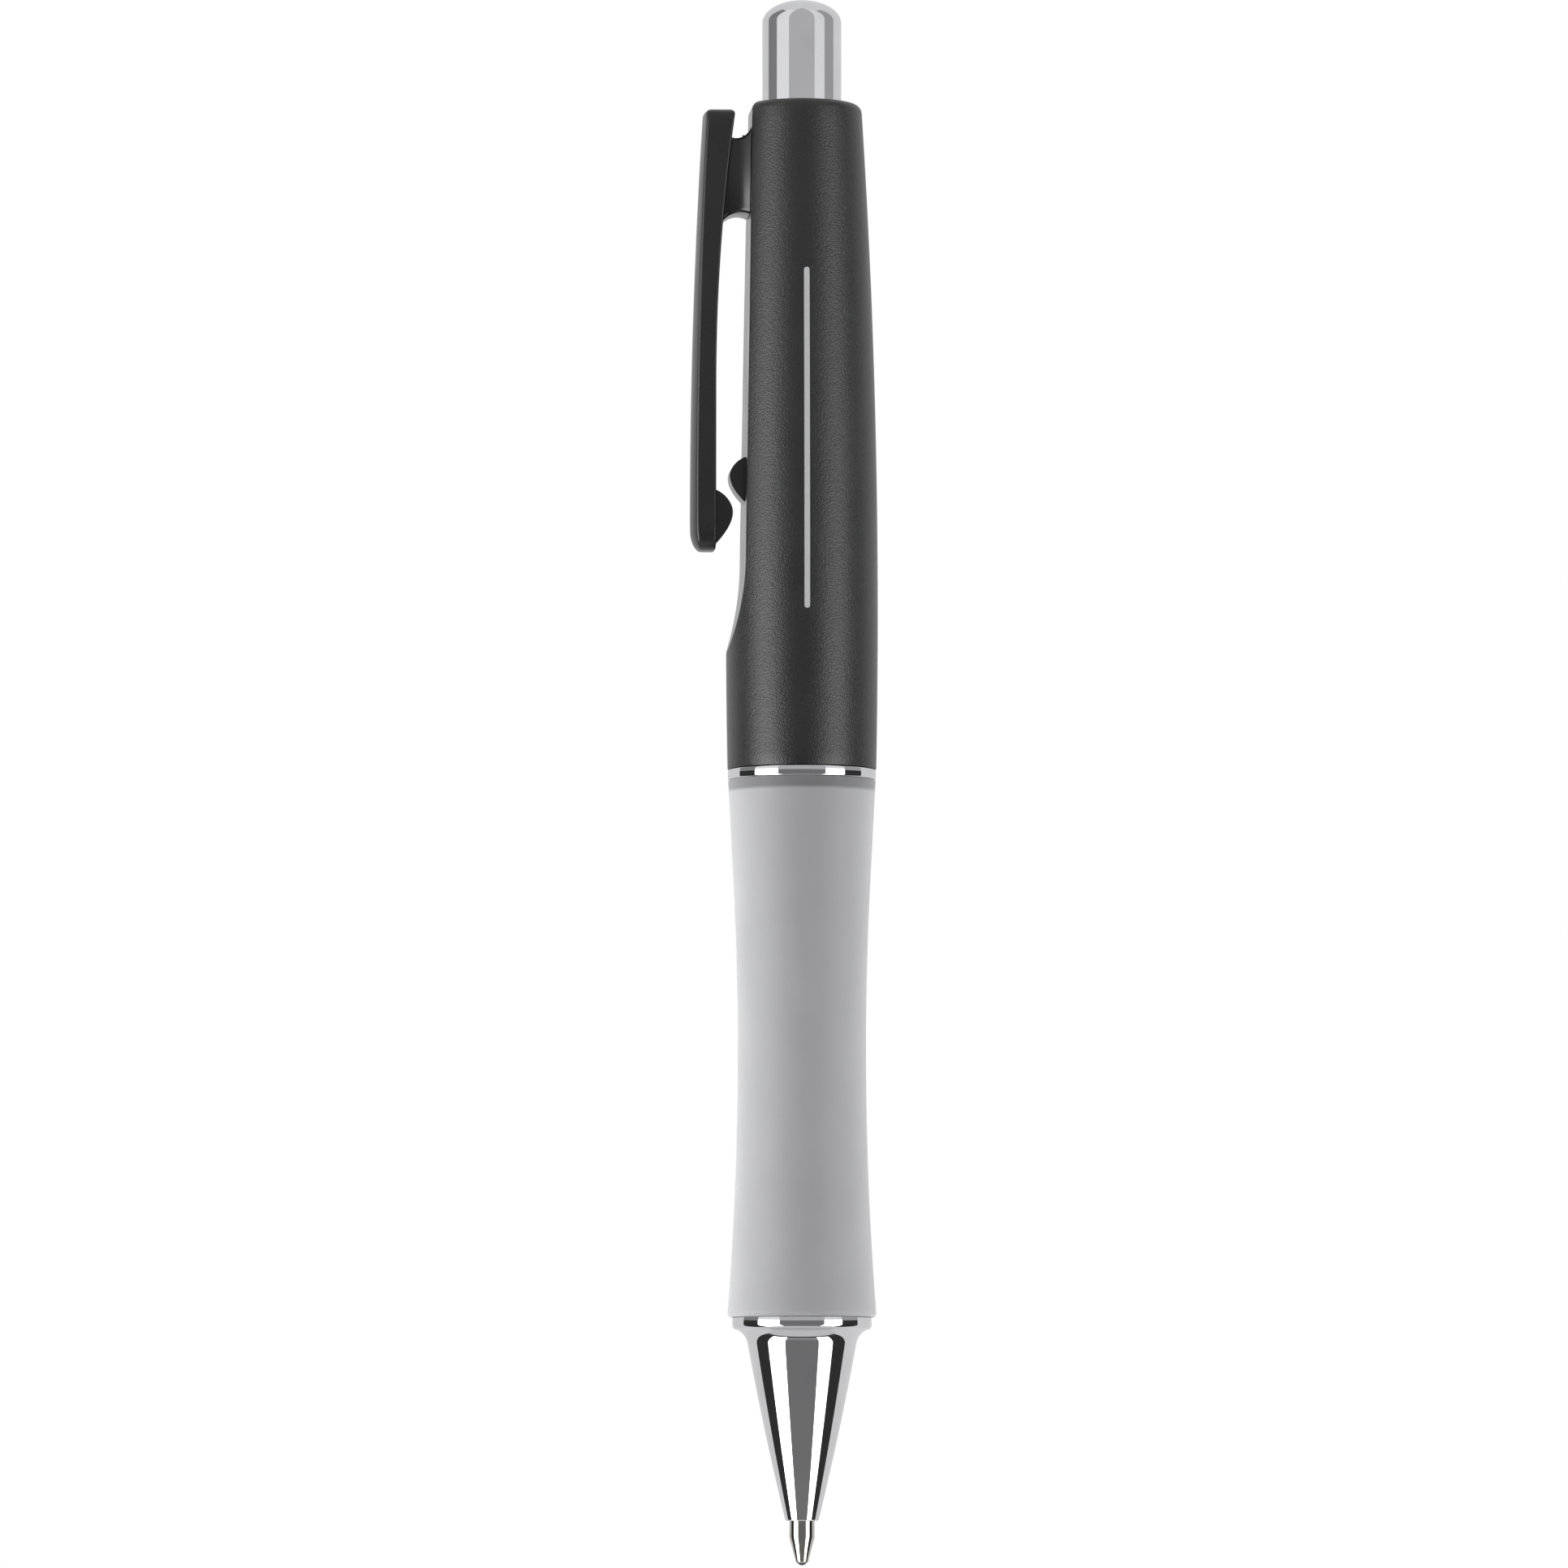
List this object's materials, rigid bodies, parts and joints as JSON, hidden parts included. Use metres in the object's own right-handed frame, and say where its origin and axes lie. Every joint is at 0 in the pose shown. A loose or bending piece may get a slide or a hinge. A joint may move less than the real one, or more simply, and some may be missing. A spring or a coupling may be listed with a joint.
{
  "type": "retractable ballpoint pen",
  "caption": "Push-button ballpoint pen with a black tapered barrel and pocket clip, a waisted translucent grip, and chromed button, ring and nose cone.",
  "frame": {"origin": "the writing tip, on the pen's axis, with the tip out", "axes": "+Z along the pen's axis from the writing tip to the button, -X towards the clip"},
  "size_m": [0.0171, 0.0138, 0.1422],
  "materials": {
    "textured_abs": "moulded black ABS with a fine spark-eroded texture",
    "chrome_plate": "bright chrome plate",
    "smoke_silicone": "translucent smoke-grey silicone, satin",
    "grey_polystyrene": "moulded grey plastic",
    "acetal": "natural white acetal",
    "spring_steel": "drawn spring wire",
    "refill_polypropylene": "milky extruded polypropylene",
    "nickel_silver": "turned nickel silver",
    "tungsten_carbide": "ground and inked ball",
    "ink": "black oil-based ink",
    "follower_grease": "clear amber grease"
  },
  "bodies": {
    "grip_section": {"lower_barrel": "grey_polystyrene", "grip_sleeve": "smoke_silicone", "nose_cone": "chrome_plate", "return_spring": "spring_steel"},
    "trim_ring": {"barrel_ring": "chrome_plate"},
    "barrel": {"upper_barrel": "textured_abs", "cam_sleeve": "acetal"},
    "button": {"button_cap": "chrome_plate", "push_cam": "acetal"},
    "clip": {"pocket_clip": "textured_abs"},
    "refill": {"refill_tube": "refill_polypropylene", "tip_holder": "acetal", "ballpoint_tip": "nickel_silver", "ink_column": "ink", "ink_follower": "follower_grease", "tail_plug": "acetal"},
    "rotor": {"rotor": "acetal"},
    "ball": {"writing_ball": "tungsten_carbide"}
  },
  "joints": [
    {"name": "barrel_unscrew", "type": "hinge", "parent": "grip_section", "child": "trim_ring", "pos_m": [0, 0, 0.0714], "axis": [0, 0, 1], "range_deg": [0, 1080]},
    {"name": "barrel_rise", "type": "slide", "parent": "trim_ring", "child": "barrel", "axis": [0, 0, 1], "range_m": [0, 0.003]},
    {"name": "button_press", "type": "slide", "parent": "barrel", "child": "button", "axis": [0, 0, 1], "range_m": [-0.0012, 0.005], "stiffness_N_per_m": 100},
    {"name": "clip_flex", "type": "hinge", "parent": "barrel", "child": "clip", "pos_m": [-0.00482, 0, 0.1303], "axis": [0, 1, 0], "range_deg": [0, 4], "stiffness_Nm_per_rad": 0.2},
    {"name": "refill_slide", "type": "slide", "parent": "grip_section", "child": "refill", "axis": [0, 0, 1], "range_m": [-0.0012, 0.005], "deforming": ["return_spring"]},
    {"name": "rotor_turn", "type": "hinge", "parent": "refill", "child": "rotor", "pos_m": [0, 0, 0.105], "axis": [0, 0, 1], "continuous": true},
    {"name": "ball_roll", "type": "hinge", "parent": "refill", "child": "ball", "pos_m": [0, 0, 0.0005], "axis": [1, 0, 0], "continuous": true}
  ],
  "couplings": [
    {"joint": "barrel_unscrew", "follows": "barrel_rise", "rad_per_m": 6283.2},
    {"joint": "refill_slide", "follows": "button_press", "ratio": 1}
  ]
}
